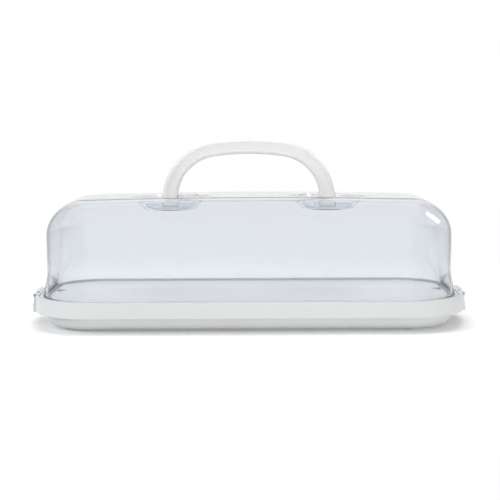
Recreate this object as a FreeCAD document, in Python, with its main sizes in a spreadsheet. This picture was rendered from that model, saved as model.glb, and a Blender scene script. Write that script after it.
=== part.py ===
# Long cake carrier: a white tray with a lift-out plate, a clear domed lid held by two end
# latches, and an arched handle that swings in two dishes in the lid's top.
# Millimetres. +X runs along the length, +Y to the back, +Z up, and Z = 0 is under the feet.
import FreeCAD, Part
import math
import os
import re
import Sketcher
from FreeCAD import Placement, Rotation, Vector

SIZES = {
    # Tray: the rim's outline, its heights and its walls
    "rim_length": 446,
    "rim_depth": 190,
    "rim_corner": 62,
    "rim_top": 33,
    "rim_wall": 3,
    "rim_round": 1.3,
    "skirt_height": 17,
    "ledge_drop": 4.5,
    "ledge_thickness": 2.5,
    "bowl_inset": 11,
    "bowl_wall": 2.5,
    "bowl_round": 9,
    "rib_width": 3,
    "rib_reach": 10,
    "cross_rib_place": 110,
    "end_rib_place": 26,
    # Feet: quarter rings under the corners of the bowl
    "foot_height": 2.5,
    "foot_width": 11,
    "foot_margin": 6,
    "foot_end_round": 5,
    # Serving plate, standing on the ribs
    "plate_thickness": 3.5,
    "plate_gap": 3,
    "plate_round": 1.2,
    "finger_notch_radius": 11,
    # Lid: flange, flared foot, wall and crowned top
    "flange_gap": 0.5,
    "flange_thickness": 4.2,
    "flange_round": 0.8,
    "flare_inset": 7,
    "flare_height": 22.8,
    "wall_inset": 12,
    "lid_top": 135,
    "lid_wall": 2.5,
    "lid_round": 40,
    "crown_radius": 6500,
    # Dishes in the lid's top
    "dish_radius": 32,
    "dish_floor_radius": 24,
    "dish_depth": 12.5,
    # Handle: a strap bent into an arch
    "leg_place": 83.5,
    "strap_width": 16,
    "strap_depth": 12,
    "strap_round": 3.5,
    "groove_width": 8.5,
    "groove_depth": 0.7,
    "handle_rise": 55.5,
    "bend_share": 0.96,
    # Handle brackets and pins
    "pivot_drop": 4.5,
    "pin_radius": 2.5,
    "bracket_base": 1.5,
    "bracket_radius": 20,
    "cheek_thickness": 5,
    "cheek_margin": 2,
    "leg_gap": 0.7,
    # End latches and their pins
    "latch_width": 50,
    "latch_height": 20.4,
    "latch_thickness": 2.4,
    "latch_grip": 1,
    "latch_gap": 0.8,
    "barrel_radius": 2.4,
    "latch_pin_radius": 1,
    "tongue_width": 20,
    "tongue_gap": 1,
    "knuckle_gap": 0.3,
    "hook_gap": 0.4,
    "hook_height": 2,
    # Running clearance round a pin, how far a cut runs past the solid, and how near to a level
    # an edge lies that counts as being at it
    "pin_clearance": 0.05,
    "overrun": 4,
    "edge_slack": 0.05,
}

# Levels and insets that several pieces share, written in the sheet's names
SKIRT_BOTTOM = "(rim_top - skirt_height)"
LEDGE_TOP = "(rim_top - ledge_drop)"
BOWL_FLOOR = "(foot_height + bowl_wall)"
BOWL_INSIDE = "(bowl_inset + bowl_wall)"
PLATE_INSET = "(bowl_inset + bowl_wall + plate_gap)"
FLANGE_INSET = "(rim_wall + flange_gap)"
FLARE_TOP = "(rim_top - ledge_drop + flange_thickness + flare_height)"
DISH_FLOOR = "(lid_top - dish_depth)"
PIVOT_LEVEL = "(lid_top - pivot_drop)"
HINGE_LEVEL = "(rim_top - ledge_drop + barrel_radius)"
HINGE_PLACE = "(rim_length / 2 + latch_gap + barrel_radius)"
CROWN_DROP = "((rim_length / 2)^2 / (2 * crown_radius))"
BEND_RADIUS = "(bend_share * handle_rise)"
ARCH_SPREAD = f"(handle_rise^2 + leg_place^2 - 2 * leg_place * {BEND_RADIUS})"
ARCH_RADIUS = f"({ARCH_SPREAD} / (2 * (handle_rise - {BEND_RADIUS})))"
CHEEK_SPAN = "(strap_width + 2 * leg_gap + 2 * cheek_thickness)"

os.makedirs("parts", exist_ok=True)
doc = FreeCAD.newDocument("CakeCarrier")
sheet = doc.addObject("Spreadsheet::Sheet", "Sizes")
for row, (alias, size) in enumerate(SIZES.items(), start=1):
    sheet.set(f"A{row}", alias)
    sheet.set(f"B{row}", str(size))
    sheet.setAlias(f"B{row}", alias)
doc.recompute()
pieces = []


def linked(text):
    """The expression with each of the sheet's names written as Sizes.name."""
    return re.sub(r"[a-z_]+", lambda word: "Sizes." + word[0] if word[0] in SIZES else word[0], text)


def value(text):
    """What an expression in the sheet's names comes to, in millimetres."""
    return float(sheet.evalExpression(linked(text)))


def bind(item, prop, text):
    """Ties a property to an expression in the sheet's names."""
    item.setExpression(prop, linked(text))


def new_body(label, is_piece=True):
    """An empty body: a piece of the carrier, or a core that is cut out of one."""
    body = doc.addObject("PartDesign::Body", label)
    body.Label = label
    if is_piece:
        pieces.append(body)
    return body


def new_sketch(body, name, plane, level="0", along="0"):
    """A sketch on one of the body's own planes, raised off it by level and slid by along."""
    sketch = body.newObject("Sketcher::SketchObject", name)
    support = next(item for item in body.Origin.OriginFeatures if item.Role == plane)
    sketch.AttachmentSupport = [(support, "")]
    sketch.MapMode = "FlatFace"
    bind(sketch, "AttachmentOffset.Base.z", level)
    bind(sketch, "AttachmentOffset.Base.x", along)
    return sketch


def name_size(sketch, constraint, name, text):
    """Adds a dimension to a sketch and ties it to an expression."""
    index = sketch.addConstraint(constraint)
    sketch.renameConstraint(index, name)
    bind(sketch, "Constraints." + name, text)


def place_point(sketch, item, end, name, x, y):
    """Holds a point of a sketch at two expressions, or on an axis where one is zero."""
    for axis, kind, text in ((-2, "DistanceX", x), (-1, "DistanceY", y)):
        if value(text) == 0:
            sketch.addConstraint(Sketcher.Constraint("PointOnObject", item, end, axis))
        else:
            held = Sketcher.Constraint(kind, -1, 1, item, end, value(text))
            name_size(sketch, held, name + kind[-1].lower(), text)


def rounded_outline(sketch, length, depth, corner):
    """A rounded rectangle about the sketch's origin."""
    half_x = value(length) / 2
    half_y = value(depth) / 2
    radius = value(corner)
    near_x = half_x - radius
    near_y = half_y - radius
    quarter = math.pi / 2
    corners = [(near_x, -near_y), (near_x, near_y), (-near_x, near_y), (-near_x, -near_y)]
    sides = [
        (Vector(-near_x, -half_y), Vector(near_x, -half_y)),
        (Vector(half_x, -near_y), Vector(half_x, near_y)),
        (Vector(near_x, half_y), Vector(-near_x, half_y)),
        (Vector(-half_x, near_y), Vector(-half_x, -near_y)),
    ]
    for turn, (side, centre) in enumerate(zip(sides, corners)):
        sketch.addGeometry(Part.LineSegment(*side))
        circle = Part.Circle(Vector(*centre), Vector(0, 0, 1), radius)
        start = (turn - 1) * quarter
        sketch.addGeometry(Part.ArcOfCircle(circle, start, start + quarter))
    count = len(sides) + len(corners)
    for item in range(count):
        sketch.addConstraint(Sketcher.Constraint("Tangent", item, 2, (item + 1) % count, 1))
    for item, kind in ((0, "Horizontal"), (2, "Vertical"), (4, "Horizontal"), (6, "Vertical")):
        sketch.addConstraint(Sketcher.Constraint(kind, item))
    for item in (3, 5, 7):
        sketch.addConstraint(Sketcher.Constraint("Equal", 1, item))
    sketch.addConstraint(Sketcher.Constraint("Symmetric", 0, 1, 4, 1, -1, 1))
    name_size(sketch, Sketcher.Constraint("DistanceX", 6, 1, 2, 1, 2 * half_x), "length", length)
    name_size(sketch, Sketcher.Constraint("DistanceY", 0, 1, 4, 1, 2 * half_y), "depth", depth)
    name_size(sketch, Sketcher.Constraint("Radius", 1, radius), "corner", corner)


def polygon(sketch, points, arcs=(), radius="0"):
    """A closed outline through points given as expressions. The sides named in arcs bulge outward."""
    first = sketch.GeometryCount
    places = [Vector(value(x), value(y)) for x, y in points]
    count = len(points)
    for step, start in enumerate(places):
        end = places[(step + 1) % count]
        side = Part.LineSegment(start, end)
        if step in arcs:
            half = (end - start) / 2
            outward = Vector(half.y, -half.x).normalize()
            bulge = value(radius) - math.sqrt(value(radius) ** 2 - half.Length ** 2)
            side = Part.Arc(start, start + half + outward * bulge, end)
        sketch.addGeometry(side)
    for step in range(count):
        following = first + (step + 1) % count
        sketch.addConstraint(Sketcher.Constraint("Coincident", first + step, 2, following, 1))
    for step, (x, y) in enumerate(points):
        place_point(sketch, first + step, 1, f"point_{first + step}_", x, y)
    for step in arcs:
        held = Sketcher.Constraint("Radius", first + step, value(radius))
        name_size(sketch, held, f"bulge_{first + step}", radius)


def block(sketch, low_x, low_y, high_x, high_y):
    """A rectangle between two corners given as expressions."""
    polygon(sketch, [(low_x, low_y), (high_x, low_y), (high_x, high_y), (low_x, high_y)])


def disc(sketch, x, y, radius):
    """A circle with its centre and radius given as expressions."""
    centre = Vector(value(x), value(y))
    item = sketch.addGeometry(Part.Circle(centre, Vector(0, 0, 1), value(radius)))
    place_point(sketch, item, 3, f"centre_{item}_", x, y)
    name_size(sketch, Sketcher.Constraint("Radius", item, value(radius)), f"radius_{item}", radius)


def extrude(body, kind, sketch, length, way="One side", backwards=False):
    """A Pad or a Pocket of a sketch."""
    feature = body.newObject("PartDesign::" + kind, sketch.Name + kind)
    feature.Profile = sketch
    feature.SideType = way
    feature.Reversed = backwards
    bind(feature, "Length", length)
    doc.recompute()
    return feature


def turn_about(body, kind, sketch, axis, angle):
    """A Revolution or a Groove of a sketch about one of its own axes."""
    feature = body.newObject("PartDesign::" + kind, sketch.Name + kind)
    feature.Profile = sketch
    feature.ReferenceAxis = (sketch, [axis])
    feature.Angle = angle
    doc.recompute()
    return feature


def mirrored(body, features, plane):
    """The features copied to the other side of one of the body's planes."""
    copy = body.newObject("PartDesign::Mirrored", features[0].Name + "Mirrored")
    copy.Originals = features
    mirror = next(item for item in body.Origin.OriginFeatures if item.Role == plane)
    copy.MirrorPlane = (mirror, [""])
    body.Tip = copy
    doc.recompute()
    return copy


def rounded(body, radius, wanted):
    """A Fillet on the edges of the body's last shape that wanted picks out."""
    base = body.Tip
    names = [f"Edge{place}" for place, edge in enumerate(base.Shape.Edges, start=1) if wanted(edge)]
    fillet = body.newObject("PartDesign::Fillet", f"{body.Name}Round{len(body.Group)}")
    fillet.Base = (base, names)
    bind(fillet, "Radius", radius)
    doc.recompute()
    return fillet


def cut_out(body, core):
    """The body less a core."""
    cut = body.newObject("PartDesign::Boolean", core.Name + "Cut")
    cut.Type = "Cut"
    cut.setObjects([core])
    doc.recompute()
    return cut


def lies_at(text):
    """Picks the edges that lie flat at a level."""
    level = value(text)
    slack = value("edge_slack")

    def wanted(edge):
        bounds = edge.BoundBox
        return abs(bounds.ZMin - level) < slack and abs(bounds.ZMax - level) < slack

    return wanted


def inset_outline(sketch, inset):
    """The rim's outline, drawn in by an inset all round."""
    length = f"rim_length - 2 * {inset}"
    depth = f"rim_depth - 2 * {inset}"
    rounded_outline(sketch, length, depth, f"rim_corner - {inset}")


def make_tray():
    """Rim and skirt, the ledge for the lid, the bowl under it and the ribs for the plate."""
    body = new_body("tray")
    outer = new_sketch(body, "TrayRim", "XY_Plane", SKIRT_BOTTOM)
    inset_outline(outer, "0")
    extrude(body, "Pad", outer, "skirt_height")
    rounded(body, "rim_round", lies_at("rim_top"))
    inside = new_sketch(body, "TrayRimInside", "XY_Plane", "rim_top")
    inset_outline(inside, "rim_wall")
    extrude(body, "Pocket", inside, "ledge_drop")
    under = new_sketch(body, "TraySkirtInside", "XY_Plane", SKIRT_BOTTOM)
    inset_outline(under, "rim_wall")
    extrude(body, "Pocket", under, "skirt_height - ledge_drop - ledge_thickness", backwards=True)
    bowl = new_sketch(body, "TrayBowl", "XY_Plane", "foot_height")
    inset_outline(bowl, "bowl_inset")
    extrude(body, "Pad", bowl, f"{LEDGE_TOP} - foot_height")
    rounded(body, "bowl_round", lies_at("foot_height"))
    core = new_body("bowl_core", is_piece=False)
    hollow = new_sketch(core, "BowlCore", "XY_Plane", BOWL_FLOOR)
    inset_outline(hollow, BOWL_INSIDE)
    extrude(core, "Pad", hollow, f"{LEDGE_TOP} - {BOWL_FLOOR} + overrun")
    rounded(core, "bowl_round - bowl_wall", lies_at(BOWL_FLOOR))
    ribs = new_sketch(core, "RibSlots", "XY_Plane", LEDGE_TOP)
    side = f"(rim_depth / 2 - {BOWL_INSIDE})"
    end = f"(rim_length / 2 - {BOWL_INSIDE})"
    half_rib = "rib_width / 2"
    for across, along in (("-", "-"), ("-", ""), ("", "-"), ("", "")):
        place = f"{along}cross_rib_place"
        near = f"{across}({side} - rib_reach)"
        far = f"{across}({side} + overrun)"
        block(ribs, f"{place} - {half_rib}", near, f"{place} + {half_rib}", far)
        place = f"{along}end_rib_place"
        near = f"{across}({end} - rib_reach)"
        far = f"{across}({end} + overrun)"
        block(ribs, near, f"{place} - {half_rib}", far, f"{place} + {half_rib}")
    extrude(core, "Pocket", ribs, f"{LEDGE_TOP} - {BOWL_FLOOR} + overrun")
    cut_out(body, core)
    notch = new_sketch(body, "TrayNotch", "XY_Plane", "rim_top")
    reach = "(rim_length / 2 + overrun)"
    half = "(tongue_width / 2 + tongue_gap)"
    block(notch, f"-{reach}", f"-{half}", reach, half)
    extrude(body, "Pocket", notch, "ledge_drop")


def set_place(item, x="0", y="0", z="0", axis=Vector(0, 0, 1), angle=0):
    """Puts a piece at a point given as expressions, turned about an axis by an angle in degrees."""
    item.Placement = Placement(Vector(value(x), value(y), value(z)), Rotation(axis, angle))
    for letter, text in zip("xyz", (x, y, z)):
        bind(item, "Placement.Base." + letter, text)


def make_foot(label, side_x, side_y, angle):
    """A quarter ring under one corner of the bowl."""
    body = new_body(label)
    ring = new_sketch(body, label + "_ring", "XZ_Plane")
    outer = "(rim_corner - bowl_inset - bowl_round - foot_margin)"
    block(ring, f"{outer} - foot_width", "0", outer, "foot_height")
    turn_about(body, "Revolution", ring, "V_Axis", 90)
    upright = value("foot_height") / 2
    rounded(body, "foot_end_round", lambda edge: edge.BoundBox.ZLength > upright)
    set_place(
        body,
        f"{side_x} * (rim_length / 2 - rim_corner)",
        f"{side_y} * (rim_depth / 2 - rim_corner)",
        angle=angle,
    )


def make_plate():
    """The flat plate on the ribs, with a notch for a finger at each end."""
    body = new_body("serving_plate")
    outline = new_sketch(body, "PlateOutline", "XY_Plane", LEDGE_TOP)
    inset_outline(outline, PLATE_INSET)
    extrude(body, "Pad", outline, "plate_thickness")
    notches = new_sketch(body, "PlateNotches", "XY_Plane", LEDGE_TOP)
    for sign in ("-", ""):
        disc(notches, f"{sign}(rim_length / 2 - {PLATE_INSET})", "0", "finger_notch_radius")
    extrude(body, "Pocket", notches, "plate_thickness + overrun", backwards=True)
    rounded(body, "plate_round", lies_at(f"{LEDGE_TOP} + plate_thickness"))


def rises_above(text):
    """Picks the edges that lie wholly above a level."""
    level = value(text)
    return lambda edge: edge.BoundBox.ZMin > level


def add_dome(body, bottom, inward):
    """The lid's upright, crowned, dished and flared form, or the same form drawn inward all round."""
    wall = new_sketch(body, body.Name + "_wall", "XY_Plane", bottom)
    inset_outline(wall, f"(wall_inset + {inward})")
    extrude(body, "Pad", wall, f"lid_top + overrun - {bottom}")
    crown = new_sketch(body, body.Name + "_crown", "XZ_Plane")
    draw_crown(crown, f"(crown_radius - {inward})")
    extrude(body, "Pocket", crown, "rim_depth", way="Symmetric")
    rounded(body, f"lid_round - {inward}", rises_above(f"lid_top - {inward} - {CROWN_DROP} - lid_wall"))
    spread = "((dish_radius - dish_floor_radius) / dish_depth)"
    dish = new_sketch(body, body.Name + "_dish", "YZ_Plane", "leg_place")
    polygon(dish, [
        ("0", f"{DISH_FLOOR} - {inward}"),
        (f"dish_floor_radius + {inward}", f"{DISH_FLOOR} - {inward}"),
        (f"dish_radius + {inward} + {spread} * overrun", "lid_top + overrun"),
        ("0", "lid_top + overrun"),
    ])
    dish_cut = turn_about(body, "Groove", dish, "V_Axis", 360)
    mirrored(body, [dish_cut], "YZ_Plane")
    flare_foot = new_sketch(body, body.Name + "_flare_foot", "XY_Plane", bottom)
    inset_outline(flare_foot, f"(flare_inset + {inward})")
    flare_top = new_sketch(body, body.Name + "_flare_top", "XY_Plane", FLARE_TOP)
    inset_outline(flare_top, f"(wall_inset + {inward})")
    flare = body.newObject("PartDesign::AdditiveLoft", body.Name + "_flare")
    flare.Profile = flare_foot
    flare.Sections = [flare_top]
    flare.Ruled = True
    doc.recompute()


def draw_crown(sketch, radius):
    """What lies above the top's shallow arc: the arc, two uprights and a level line."""
    reach = "(rim_length / 2)"
    middle = "(lid_top - crown_radius)"
    end_level = f"({middle} + sqrt({radius}^2 - {reach}^2))"
    high = "(lid_top + 2 * overrun)"
    right = Vector(value(reach), value(end_level))
    left = Vector(-right.x, right.y)
    upper_right = Vector(right.x, value(high))
    upper_left = Vector(left.x, value(high))
    peak = Vector(0, value(middle) + value(radius))
    sketch.addGeometry(Part.Arc(right, peak, left))
    sketch.addGeometry(Part.LineSegment(left, upper_left))
    sketch.addGeometry(Part.LineSegment(upper_left, upper_right))
    sketch.addGeometry(Part.LineSegment(upper_right, right))
    for item in range(sketch.GeometryCount):
        following = (item + 1) % sketch.GeometryCount
        sketch.addConstraint(Sketcher.Constraint("Coincident", item, 2, following, 1))
    place_point(sketch, 0, 3, "middle_", "0", middle)
    place_point(sketch, 2, 1, "upper_left_", f"-{reach}", high)
    place_point(sketch, 3, 1, "upper_right_", reach, high)
    for item in (1, 3):
        sketch.addConstraint(Sketcher.Constraint("Vertical", item))
    name_size(sketch, Sketcher.Constraint("Radius", 0, value(radius)), "crown", radius)


def make_lid():
    """Flange, hollow dome with its two dishes, and a tongue for each latch."""
    body = new_body("lid")
    flange = new_sketch(body, "LidFlange", "XY_Plane", LEDGE_TOP)
    inset_outline(flange, FLANGE_INSET)
    extrude(body, "Pad", flange, "flange_thickness")
    rounded(body, "flange_round", lies_at(f"{LEDGE_TOP} + flange_thickness"))
    add_dome(body, LEDGE_TOP, "0")
    core = new_body("lid_core", is_piece=False)
    add_dome(core, f"({LEDGE_TOP} - overrun)", "lid_wall")
    cut_out(body, core)
    tongue = new_sketch(body, "LidTongue", "XZ_Plane")
    root = f"(rim_length / 2 - {FLANGE_INSET} - flange_thickness / 2)"
    block(tongue, root, LEDGE_TOP, HINGE_PLACE, f"({LEDGE_TOP} + flange_thickness)")
    tongue_pad = extrude(body, "Pad", tongue, "tongue_width", way="Symmetric")
    barrel = new_sketch(body, "LidBarrel", "XZ_Plane")
    disc(barrel, HINGE_PLACE, HINGE_LEVEL, "barrel_radius")
    barrel_pad = extrude(body, "Pad", barrel, "tongue_width", way="Symmetric")
    bore = new_sketch(body, "LidBarrelBore", "XZ_Plane")
    disc(bore, HINGE_PLACE, HINGE_LEVEL, "latch_pin_radius + pin_clearance")
    bore_cut = extrude(body, "Pocket", bore, "tongue_width + overrun", way="Symmetric")
    mirrored(body, [tongue_pad, barrel_pad, bore_cut], "YZ_Plane")


def draw_arch(sketch):
    """The handle's middle line: a shallow arch between two bends that stand upright on the pivots."""
    bend_radius = value(BEND_RADIUS)
    arch_radius = value(ARCH_RADIUS)
    foot = Vector(value("leg_place"), value(PIVOT_LEVEL))
    peak = Vector(0, value(f"{PIVOT_LEVEL} + handle_rise"))
    arch_middle = peak - Vector(0, arch_radius)
    bend_middle = foot - Vector(bend_radius, 0)
    toward = (bend_middle - arch_middle).normalize()
    meet = arch_middle + toward * arch_radius
    elbow = bend_middle + (toward + Vector(1, 0)).normalize() * bend_radius

    def across(point):
        return Vector(-point.x, point.y)

    sketch.addGeometry(Part.Arc(across(meet), across(elbow), across(foot)))
    sketch.addGeometry(Part.Arc(meet, peak, across(meet)))
    sketch.addGeometry(Part.Arc(foot, elbow, meet))
    sketch.addConstraint(Sketcher.Constraint("Tangent", 0, 1, 1, 2))
    sketch.addConstraint(Sketcher.Constraint("Tangent", 1, 1, 2, 2))
    sketch.addConstraint(Sketcher.Constraint("Horizontal", 0, 2, 0, 3))
    sketch.addConstraint(Sketcher.Constraint("Horizontal", 2, 1, 2, 3))
    sketch.addConstraint(Sketcher.Constraint("Equal", 0, 2))
    name_size(sketch, Sketcher.Constraint("Radius", 0, bend_radius), "bend", BEND_RADIUS)
    name_size(sketch, Sketcher.Constraint("Radius", 1, arch_radius), "arch", ARCH_RADIUS)
    place_point(sketch, 0, 2, "left_foot_", "-leg_place", PIVOT_LEVEL)
    place_point(sketch, 2, 1, "right_foot_", "leg_place", PIVOT_LEVEL)


def grooved_outline(sketch):
    """The strap's section: round corners, and a groove along the middle of its front and back."""
    side = "(strap_width / 2)"
    face = "(strap_depth / 2)"
    groove = "(groove_width / 2)"
    quarter = [
        (side, f"({face} - strap_round)"),
        (f"({side} - strap_round)", face),
        (groove, face),
        (groove, f"({face} - groove_depth)"),
    ]
    points = []
    for sign_x, sign_y, way in (("", "", 1), ("-", "", -1), ("-", "-", 1), ("", "-", -1)):
        points += [(sign_x + x, sign_y + y) for x, y in quarter[::way]]
    polygon(sketch, points, arcs=(0, 6, 8, 14), radius="strap_round")


def make_handle():
    """The arched strap, grooved along both faces, with an eye at the end of each leg."""
    body = new_body("handle")
    path = new_sketch(body, "HandleArch", "XZ_Plane")
    draw_arch(path)
    strap = new_sketch(body, "HandleStrap", "XY_Plane", PIVOT_LEVEL, "-leg_place")
    grooved_outline(strap)
    pipe = body.newObject("PartDesign::AdditivePipe", "HandlePipe")
    pipe.Profile = strap
    pipe.Spine = path
    doc.recompute()
    eye = new_sketch(body, "HandleEye", "YZ_Plane", "leg_place - strap_width / 2")
    disc(eye, "0", PIVOT_LEVEL, "strap_depth / 2")
    eye_pad = extrude(body, "Pad", eye, "strap_width")
    mirrored(body, [eye_pad], "YZ_Plane")
    bore = new_sketch(body, "HandleBore", "YZ_Plane")
    disc(bore, "0", PIVOT_LEVEL, "pin_radius + pin_clearance")
    extrude(body, "Pocket", bore, "2 * (leg_place + strap_width)", way="Symmetric")


def make_bracket(label, side):
    """A round base with two cheeks, which stands in a dish and holds a handle pin."""
    body = new_body(label)
    pivot = f"({PIVOT_LEVEL} - {DISH_FLOOR})"
    cheek = "(pin_radius + cheek_margin)"
    base = new_sketch(body, label + "_base", "XY_Plane")
    disc(base, "0", "0", "bracket_radius")
    extrude(body, "Pad", base, "bracket_base")
    stand = new_sketch(body, label + "_stand", "YZ_Plane")
    block(stand, f"-{cheek}", "0", cheek, pivot)
    extrude(body, "Pad", stand, CHEEK_SPAN, way="Symmetric")
    crest = new_sketch(body, label + "_crest", "YZ_Plane")
    disc(crest, "0", pivot, cheek)
    extrude(body, "Pad", crest, CHEEK_SPAN, way="Symmetric")
    gap = new_sketch(body, label + "_gap", "XZ_Plane")
    half = "(strap_width / 2 + leg_gap)"
    block(gap, f"-{half}", "bracket_base", half, f"{pivot} + {cheek} + overrun")
    extrude(body, "Pocket", gap, "2 * bracket_radius", way="Symmetric")
    bore = new_sketch(body, label + "_bore", "YZ_Plane")
    disc(bore, "0", pivot, "pin_radius + pin_clearance")
    extrude(body, "Pocket", bore, f"{CHEEK_SPAN} + overrun", way="Symmetric")
    set_place(body, f"{side} * leg_place", "0", DISH_FLOOR)


def make_latch(label, side, angle):
    """A plate that hangs from two barrels, with a hook inside and a thicker grip outside."""
    body = new_body(label)
    plate = new_sketch(body, label + "_plate", "XZ_Plane")
    face = "(latch_thickness / 2)"
    grip = f"({face} + latch_grip)"
    low = "(latch_height - barrel_radius)"
    tip = "(latch_gap + barrel_radius - hook_gap)"
    hook = f"({HINGE_LEVEL} - {SKIRT_BOTTOM} + hook_gap)"
    polygon(plate, [
        (f"-{face}", "0"),
        (f"-{face}", f"-{hook}"),
        (f"-{tip}", f"-{hook}"),
        (f"-{tip}", f"-({hook} + hook_height / 2)"),
        (f"-{face}", f"-{low}"),
        (grip, f"-{low}"),
        (grip, f"-{low} / 2"),
        (face, f"-({low} / 2 - 2 * latch_grip)"),
        (face, "0"),
    ])
    extrude(body, "Pad", plate, "latch_width", way="Symmetric")
    barrel = new_sketch(body, label + "_barrel", "XZ_Plane")
    disc(barrel, "0", "0", "barrel_radius")
    extrude(body, "Pad", barrel, "latch_width", way="Symmetric")
    gap = new_sketch(body, label + "_gap", "XZ_Plane")
    room = "(barrel_radius + knuckle_gap)"
    block(gap, f"-{room}", f"-{room}", room, room)
    extrude(body, "Pocket", gap, "tongue_width + 2 * knuckle_gap", way="Symmetric")
    bore = new_sketch(body, label + "_bore", "XZ_Plane")
    disc(bore, "0", "0", "latch_pin_radius + pin_clearance")
    extrude(body, "Pocket", bore, "latch_width + overrun", way="Symmetric")
    set_place(body, f"{side} * {HINGE_PLACE}", "0", HINGE_LEVEL, angle=angle)


def make_pin(label, radius, length, x, y, z, axis, angle):
    """A plain round pin."""
    pin = doc.addObject("Part::Cylinder", label)
    pin.Label = label
    bind(pin, "Radius", radius)
    bind(pin, "Height", length)
    set_place(pin, x, y, z, axis, angle)
    pieces.append(pin)


make_tray()
make_foot("foot_front_left", -1, -1, 180)
make_foot("foot_front_right", 1, -1, 270)
make_foot("foot_back_left", -1, 1, 90)
make_foot("foot_back_right", 1, 1, 0)
make_plate()
make_lid()
make_handle()
for side, hand, angle in ((-1, "left", 180), (1, "right", 0)):
    make_bracket("handle_bracket_" + hand, side)
    make_pin(
        "handle_pin_" + hand, "pin_radius", CHEEK_SPAN,
        f"{side} * leg_place - {CHEEK_SPAN} / 2", "0", PIVOT_LEVEL, Vector(0, 1, 0), 90,
    )
    make_latch("latch_" + hand, side, angle)
    make_pin(
        "latch_pin_" + hand, "latch_pin_radius", "latch_width",
        f"{side} * {HINGE_PLACE}", "latch_width / 2", HINGE_LEVEL, Vector(1, 0, 0), 90,
    )
doc.recompute()
for item in doc.Objects:
    if {"Invalid", "Error"} & set(item.State):
        raise RuntimeError(f"{item.Label} failed: {item.State}")
for body in pieces:
    shape = body.Shape
    if shape.isNull() or not shape.isValid():
        raise RuntimeError(f"{body.Label} has no sound shape")
    shape.exportStep(f"parts/{body.Label}.step")
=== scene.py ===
import math

import bmesh
import bpy
from mathutils import Matrix, Vector
from mathutils.geometry import delaunay_2d_cdt


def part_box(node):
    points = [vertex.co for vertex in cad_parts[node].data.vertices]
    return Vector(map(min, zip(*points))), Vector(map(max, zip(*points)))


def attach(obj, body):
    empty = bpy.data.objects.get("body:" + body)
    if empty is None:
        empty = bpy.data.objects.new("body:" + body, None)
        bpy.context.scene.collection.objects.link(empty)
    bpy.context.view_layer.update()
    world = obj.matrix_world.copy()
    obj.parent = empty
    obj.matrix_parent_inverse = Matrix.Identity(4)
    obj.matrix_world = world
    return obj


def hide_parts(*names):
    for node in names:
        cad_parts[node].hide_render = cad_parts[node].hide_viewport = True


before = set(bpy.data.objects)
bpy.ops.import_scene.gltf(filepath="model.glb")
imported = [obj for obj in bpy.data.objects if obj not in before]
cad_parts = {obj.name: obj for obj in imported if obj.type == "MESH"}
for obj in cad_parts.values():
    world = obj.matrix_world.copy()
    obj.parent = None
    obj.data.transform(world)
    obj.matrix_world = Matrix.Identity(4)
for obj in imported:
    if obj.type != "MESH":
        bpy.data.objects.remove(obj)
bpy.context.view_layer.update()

# Places read from the frame
TRAY_LOW, TRAY_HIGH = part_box("tray")
LID_LOW, LID_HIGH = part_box("lid")
PLATE_LOW, PLATE_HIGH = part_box("serving_plate")
HANDLE_LOW, HANDLE_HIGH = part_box("handle")
BRACKET_LOW, BRACKET_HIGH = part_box("handle_bracket_right")
HANDLE_PIN_LOW, HANDLE_PIN_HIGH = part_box("handle_pin_right")
LATCH_LOW, LATCH_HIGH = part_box("latch_right")
LATCH_PIN_LOW, LATCH_PIN_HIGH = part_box("latch_pin_right")
HALF_LENGTH = TRAY_HIGH.x
HALF_DEPTH = TRAY_HIGH.y
RIM_TOP = TRAY_HIGH.z
BOWL_BOTTOM = TRAY_LOW.z
LEDGE = LID_LOW.z
LID_TOP = LID_HIGH.z

# Tray sizes that the frame's boxes don't give
RIM_CORNER = 0.062
RIM_WALL = 0.003
RIM_ROUND = 0.0013
EDGE_ROUND = 0.00052
SKIRT_HEIGHT = 0.017
LEDGE_THICKNESS = 0.0025
BOWL_INSET = 0.011
BOWL_WALL = 0.0025
BOWL_ROUND = 0.009
RIB_WIDTH = 0.003
RIB_REACH = 0.010
CROSS_RIB_PLACE = 0.110
END_RIB_PLACE = 0.026
NOTCH_HALF = 0.011
END_SHARES = (0.3, 0.6, 0.85, 0.95, 1.0, 1.05, 1.15, 1.4, 1.9)
END_LAST_SHARE = 0.82
CORNER_X = HALF_LENGTH - RIM_CORNER
CORNER_Y = HALF_DEPTH - RIM_CORNER

# Plate, whose rounded lip closes up to the bowl, and feet
PLATE_LIP = 0.0014
PLATE_INSET = HALF_DEPTH - PLATE_HIGH.y - PLATE_LIP
PLATE_ROUND = 0.0012
FINGER_NOTCH = 0.011
FOOT_RADIUS = 0.0305
FOOT_HALF = 0.0055
FOOT_ROUND = 0.0007

# Lid, which stands a little above the ledge
LID_GAP = 0.0003
LID_SEAT = LEDGE + LID_GAP
FLANGE_INSET = 0.0035
FLANGE_THICKNESS = 0.0042
FLANGE_ROUND = 0.0008
FLANGE_TOP = LEDGE + FLANGE_THICKNESS
DOME_GAP = 0.0001
DOME_FOOT = FLANGE_TOP + DOME_GAP
FLARE_INSET = 0.007
FLARE_HEIGHT = 0.0228
FLARE_TOP = FLANGE_TOP + FLARE_HEIGHT
FLARE_BEND = 0.0057
FLARE_FILLET_END = 350
WALL_INSET = 0.012
LID_WALL = 0.0025
LID_ROUND = 0.040
ROUND_LEVEL = LID_TOP - LID_ROUND
ROUND_INSET = WALL_INSET + LID_ROUND
CROWN_RADIUS = 6.5
DISH_RADIUS = 0.032
DISH_FLOOR_RADIUS = 0.024
DISH_DEPTH = 0.0125
DISH_LIP = 0.0035
DISH_FILLET = 0.005
TOP_SPACING = LID_ROUND / 6
TONGUE_HALF = 0.010

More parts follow.
